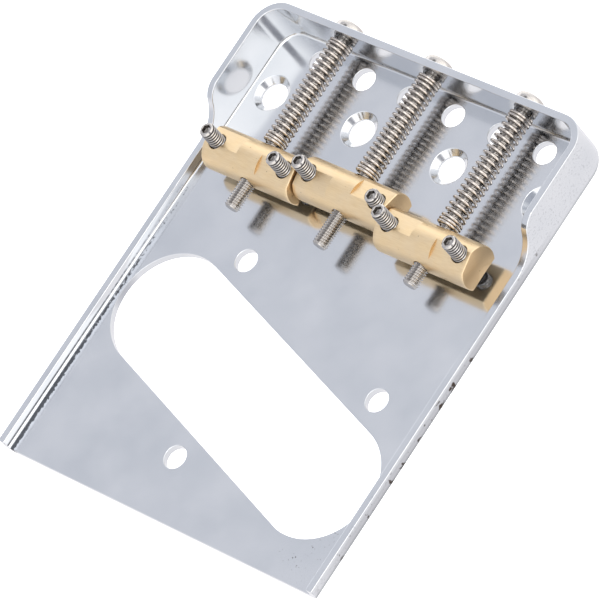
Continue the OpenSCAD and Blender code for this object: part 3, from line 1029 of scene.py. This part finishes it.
# %% [markdown]
# ## The springs
# A compression spring is wound with its end coils closed, so that it stands
# flat, and open coils between. The wire's middle line is a helix whose lead
# swells from just over one wire's width at the ends to about twice that
# between, whatever fills the spring's length. Each spring is held by the wall
# at one end and pushed by its saddle at the other, and is made to fill the
# length between them as measured.

# %% Springs
WIRE_R, COIL_R = 0.275, 1.975   # radius of the wire, and of the coil's middle line
TURNS, CLOSED = 22.25, 2.3      # turns in all, and closed turns at each end


def spring(rear, front, sides=10, steps=40):
    """Patches of one spring from y = rear down to y = front. The lead at each
    turn is added up along the wire and scaled to the spring's length."""
    t = np.linspace(0, TURNS, int(TURNS * steps) + 1)
    swell = np.clip((np.minimum(t, TURNS - t) - CLOSED + 0.4) / 0.8, 0, 1)
    open_share = swell * swell * (3 - 2 * swell)
    run = rear - front - 2 * WIRE_R
    tight = 2.08 * WIRE_R
    wide = (run - tight * (1 - open_share[1:]).sum() / steps) / (open_share[1:].sum() / steps)
    lead = tight + (wide - tight) * open_share
    y = rear - WIRE_R - np.concatenate([[0], np.cumsum(lead[1:]) / steps])
    a = -2 * np.pi * t
    ray = np.stack([np.cos(a), 0 * a, np.sin(a)], 1)
    middle = COIL_R * ray + np.stack([0 * y, y, 0 * y], 1)
    along = np.gradient(middle, axis=0)
    along /= np.linalg.norm(along, axis=1, keepdims=True)
    b = np.arange(sides)[:, None] / sides * 2 * np.pi
    n = np.cos(b) * ray[:, None] + np.sin(b) * np.cross(along, ray)[:, None]
    p = middle[:, None] + WIRE_R * n
    return [strip(p, n), lid(p[0], middle[0], -along[0]), lid(p[-1], middle[-1], along[-1])]


for key in WHERE:
    low, high = (np.array(c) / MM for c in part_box(f"{key}_spring"))
    spot = np.array([(low[0] + high[0]) / 2, 0, AXLE])
    parts = [(p + spot, f) for p, f in spring(high[1], low[1])]
    ends = [Vector(((spot * [1, 0, 1] + [0, y, 0]) * MM).tolist())
            for y in (high[1] - 0.5, low[1] + 0.5)]
    piece(f"{key}_wound_spring", parts, (f"{key}_carrier", f"{key}_barrel", *ends),
          f"{key}_spring", WIRE, sharp=50)

# %% [markdown]
# ## The studio
# The bridge lies on white paper under a large pale tent, which is the world
# itself, without lamps. Chrome shows what stands round it, so the tent is a
# cool white, brighter to the right and dimmer low down. Soft round cards in
# it, bright and dark, give the metals their highlights and their greys.

# %% Paper
material = bpy.data.materials.new("white_paper")
material.use_nodes = True
for key, value in (("Base Color", linear("#FFFFFF")), ("Roughness", 0.9),
                   ("Emission Color", linear("#FFFFFF")), ("Emission Strength", 1.0)):
    material.node_tree.nodes["Principled BSDF"].inputs[key].default_value = value
square = np.array([(-1, -1, 0), (1, -1, 0), (1, 1, 0), (-1, 1, 0)]) * 3000 * MM
mesh = bpy.data.meshes.new("paper")
mesh.from_pydata((square + [0, 0, -0.05 * MM]).tolist(), [], [(0, 1, 2, 3)])
mesh.materials.append(material)
obj = bpy.data.objects.new("paper", mesh)
bpy.context.scene.collection.objects.link(obj)
obj.visible_glossy = False      # the tent's own floor stands in for it in the metal
print("paper, m:", [round(v, 2) for v in obj.dimensions])

# %% The tent and its cards
world = bpy.data.worlds.new("pale_tent")
bpy.context.scene.world = world
world.use_nodes = True
tree = world.node_tree
ray = add(tree, "TexCoord").outputs["Generated"]
axis = add(tree, "SeparateXYZ", [ray]).outputs
sides = layered(tree, (0.71, 0.73, 0.8), [
    (add(tree, "MapRange", [axis["X"], -0.75, 0.85]), (2.0, 1.96, 1.92))], "VECTOR")
low_down = layered(tree, (0.72, 0.72, 0.73), [
    (add(tree, "MapRange", [axis["Z"], -0.98, -0.78]), (1.1, 1.08, 1.1))], "VECTOR")
tent = layered(tree, low_down, [(add(tree, "MapRange", [axis["Z"], -0.25, 0.1]), sides)], "VECTOR")

# Each card: the way to it, its full and its faded edge in degrees, its light.
CARDS = [((-0.64, 0.74, 0.05), 18, 38, (1.6, 1.6, 1.6)),    # white, low behind
         ((-0.95, 0.2, 0.2), 12, 24, (1.7, 1.7, 1.75)),     # white, low to the left
         ((0.3, -0.1, 0.95), 10, 20, (3.2, 3.2, 3.2)),      # bright, right overhead
         ((-0.2, 0.2, 0.95), 11, 17, (0.22, 0.23, 0.26)),   # dark gap overhead
         ((0.64, -0.2, 0.74), 9, 16, (0.4, 0.4, 0.44))]     # where the camera stands
for aim, full, fade, light in CARDS:
    near = add(tree, "VectorMath", [ray, aim], operation="DOT_PRODUCT").outputs["Value"]
    edge = [float(np.cos(np.radians(a)) * np.linalg.norm(aim)) for a in (fade, full)]
    tent = layered(tree, tent, [(add(tree, "MapRange", [near, *edge]), light)], "VECTOR")
tree.links.new(tent, tree.nodes["Background"].inputs["Color"])
print("cards in the tent:", len(CARDS))

# %% [markdown]
# ## The camera
# The place and the lens were worked out from holes, corners and edges of
# known size in the picture: about a metre away, well above the bass side of
# the front, with a long lens.

# %% Camera
EYE = (0.652567, -0.234315, 0.759160)           # in metres
RIGHT = Vector((0.70264, 0.54266, -0.46024))    # what is right, down and ahead in the view
DOWN = Vector((0.31165, -0.81618, -0.48655))
AHEAD = Vector((-0.63967, 0.19843, -0.74260))
camera = bpy.data.cameras.new("camera")
camera.sensor_width = 36.0
camera.lens = 357.83            # 5964 pixels in a picture 600 pixels wide
camera.shift_x, camera.shift_y = -0.00422, -0.0030      # the picture's centre is a bit off
camera.clip_start, camera.clip_end = 0.05, 20.0
eye = bpy.data.objects.new("camera", camera)
bpy.context.scene.collection.objects.link(eye)
turn = Matrix((RIGHT, -DOWN, -AHEAD)).transposed()
eye.matrix_world = Matrix.Translation(EYE) @ turn.to_4x4()
bpy.context.scene.camera = eye
bpy.context.scene.view_settings.view_transform = "Standard"
print("lens:", camera.lens)
